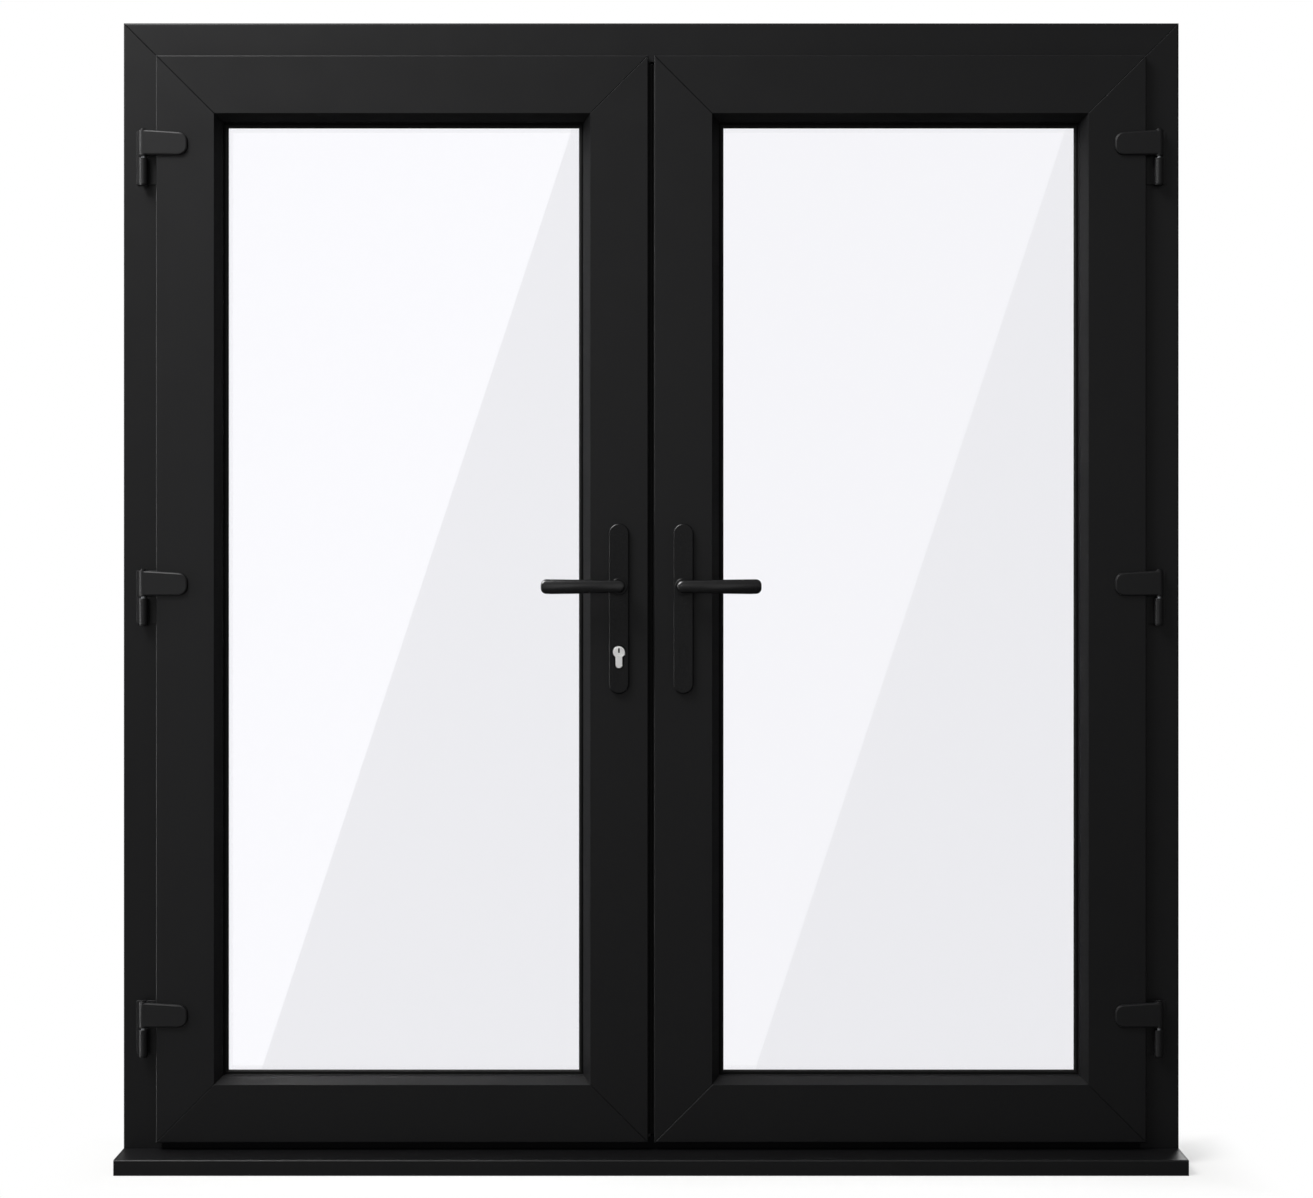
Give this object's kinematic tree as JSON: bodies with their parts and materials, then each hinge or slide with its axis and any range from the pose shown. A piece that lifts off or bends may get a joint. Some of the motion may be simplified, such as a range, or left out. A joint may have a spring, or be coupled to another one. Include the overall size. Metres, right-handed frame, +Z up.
{
  "type": "french doors",
  "caption": "French doors with glazed leaves that open outward in a mitred black frame on a cill, with lever handles, flag hinges, a key lock and a floating mullion.",
  "frame": {"origin": "on the cill's underside, midway along it, in the plane of the frame's outside face", "axes": "+X to the right seen from outside, +Y towards the inside of the building, +Z up"},
  "size_m": [1.9, 0.188, 2.056],
  "materials": {
    "foiled_upvc": "satin black grained foil",
    "powder_coated_zinc": "satin black powder coat",
    "anodised_aluminium": "black anodised",
    "spacer_aluminium": "black",
    "zinc_plated_steel": "bright zinc plate",
    "nickel_plated_brass": "satin nickel plate",
    "float_glass": "clear, polished",
    "epdm_rubber": "matt",
    "white_nylon": "matt",
    "black_nylon": "matt"
  },
  "bodies": {
    "frame": {"cill": "foiled_upvc", "cill_end_caps": "foiled_upvc", "frame_head": "foiled_upvc", "frame_left_jamb": "foiled_upvc", "frame_right_jamb": "foiled_upvc", "threshold": "anodised_aluminium", "frame_steels": "zinc_plated_steel", "frame_seal": "epdm_rubber", "left_hinge_barrels": "powder_coated_zinc", "right_hinge_barrels": "powder_coated_zinc", "hinge_pins": "zinc_plated_steel", "shootbolt_keeps": "zinc_plated_steel"},
    "left_leaf": {"left_hinge_stile": "foiled_upvc", "left_meeting_stile": "foiled_upvc", "left_top_rail": "foiled_upvc", "left_bottom_rail": "foiled_upvc", "left_leaf_steels": "zinc_plated_steel", "left_outer_pane": "float_glass", "left_inner_pane": "float_glass", "left_spacer_bar": "spacer_aluminium", "left_glazing_beads": "foiled_upvc", "left_glazing_gasket": "epdm_rubber", "left_setting_blocks": "white_nylon", "left_hinge_flags": "powder_coated_zinc", "left_hinge_bushes": "black_nylon", "left_outside_plate": "powder_coated_zinc", "left_inside_plate": "powder_coated_zinc", "lock_faceplate": "zinc_plated_steel", "lock_case": "zinc_plated_steel", "lock_cylinder": "nickel_plated_brass", "meeting_seal": "epdm_rubber"},
    "left_lever": {"left_outside_lever": "powder_coated_zinc", "left_inside_lever": "powder_coated_zinc", "left_spindle": "zinc_plated_steel"},
    "latch": {"latch_bolt": "zinc_plated_steel"},
    "key_plug": {"cylinder_plug": "nickel_plated_brass"},
    "deadbolts": {"lock_bolts": "zinc_plated_steel"},
    "right_leaf": {"right_hinge_stile": "foiled_upvc", "right_meeting_stile": "foiled_upvc", "right_top_rail": "foiled_upvc", "right_bottom_rail": "foiled_upvc", "right_leaf_steels": "zinc_plated_steel", "right_outer_pane": "float_glass", "right_inner_pane": "float_glass", "right_spacer_bar": "spacer_aluminium", "right_glazing_beads": "foiled_upvc", "right_glazing_gasket": "epdm_rubber", "right_setting_blocks": "white_nylon", "right_hinge_flags": "powder_coated_zinc", "right_hinge_bushes": "black_nylon", "right_outside_plate": "powder_coated_zinc", "right_inside_plate": "powder_coated_zinc", "floating_mullion": "foiled_upvc", "lock_keeps": "zinc_plated_steel", "shootbolt_gearbox": "zinc_plated_steel"},
    "right_lever": {"right_outside_lever": "powder_coated_zinc", "right_inside_lever": "powder_coated_zinc", "right_spindle": "zinc_plated_steel"},
    "upper_shootbolt": {"top_shootbolt": "zinc_plated_steel"},
    "lower_shootbolt": {"bottom_shootbolt": "zinc_plated_steel"}
  },
  "joints": [
    {"name": "left_leaf_swing", "type": "hinge", "parent": "frame", "child": "left_leaf", "pos_m": [-0.9105, -0.016, 1], "axis": [0, 0, -1], "range_deg": [0, 110]},
    {"name": "right_leaf_swing", "type": "hinge", "parent": "frame", "child": "right_leaf", "pos_m": [0.9105, -0.016, 1], "axis": [0, 0, 1], "range_deg": [0, 110], "deforming": ["meeting_seal"]},
    {"name": "left_lever_turn", "type": "hinge", "parent": "left_leaf", "child": "left_lever", "pos_m": [-0.0577, 0.017, 1.041], "axis": [0, -1, 0], "range_deg": [0, 35], "stiffness_Nm_per_rad": 2, "springref_deg": -34.38},
    {"name": "latch_slide", "type": "slide", "parent": "left_leaf", "child": "latch", "axis": [-1, 0, 0], "range_m": [0, 0.0105]},
    {"name": "key_turn", "type": "hinge", "parent": "left_leaf", "child": "key_plug", "pos_m": [-0.0577, 0.017, 0.924], "axis": [0, 1, 0], "range_deg": [0, 360]},
    {"name": "bolt_slide", "type": "slide", "parent": "left_leaf", "child": "deadbolts", "axis": [1, 0, 0], "range_m": [0, 0.02]},
    {"name": "right_lever_turn", "type": "hinge", "parent": "right_leaf", "child": "right_lever", "pos_m": [0.0577, 0.017, 1.041], "axis": [0, -1, 0], "range_deg": [0, 45]},
    {"name": "upper_shootbolt_slide", "type": "slide", "parent": "right_leaf", "child": "upper_shootbolt", "axis": [0, 0, 1], "range_m": [0, 0.014]},
    {"name": "lower_shootbolt_slide", "type": "slide", "parent": "right_leaf", "child": "lower_shootbolt", "axis": [0, 0, -1], "range_m": [0, 0.014]}
  ],
  "couplings": [
    {"joint": "latch_slide", "follows": "left_lever_turn", "m_per_rad": 0.017188},
    {"joint": "key_turn", "follows": "bolt_slide", "rad_per_m": 314.15},
    {"joint": "upper_shootbolt_slide", "follows": "right_lever_turn", "m_per_rad": 0.017825},
    {"joint": "lower_shootbolt_slide", "follows": "right_lever_turn", "m_per_rad": 0.017825}
  ]
}
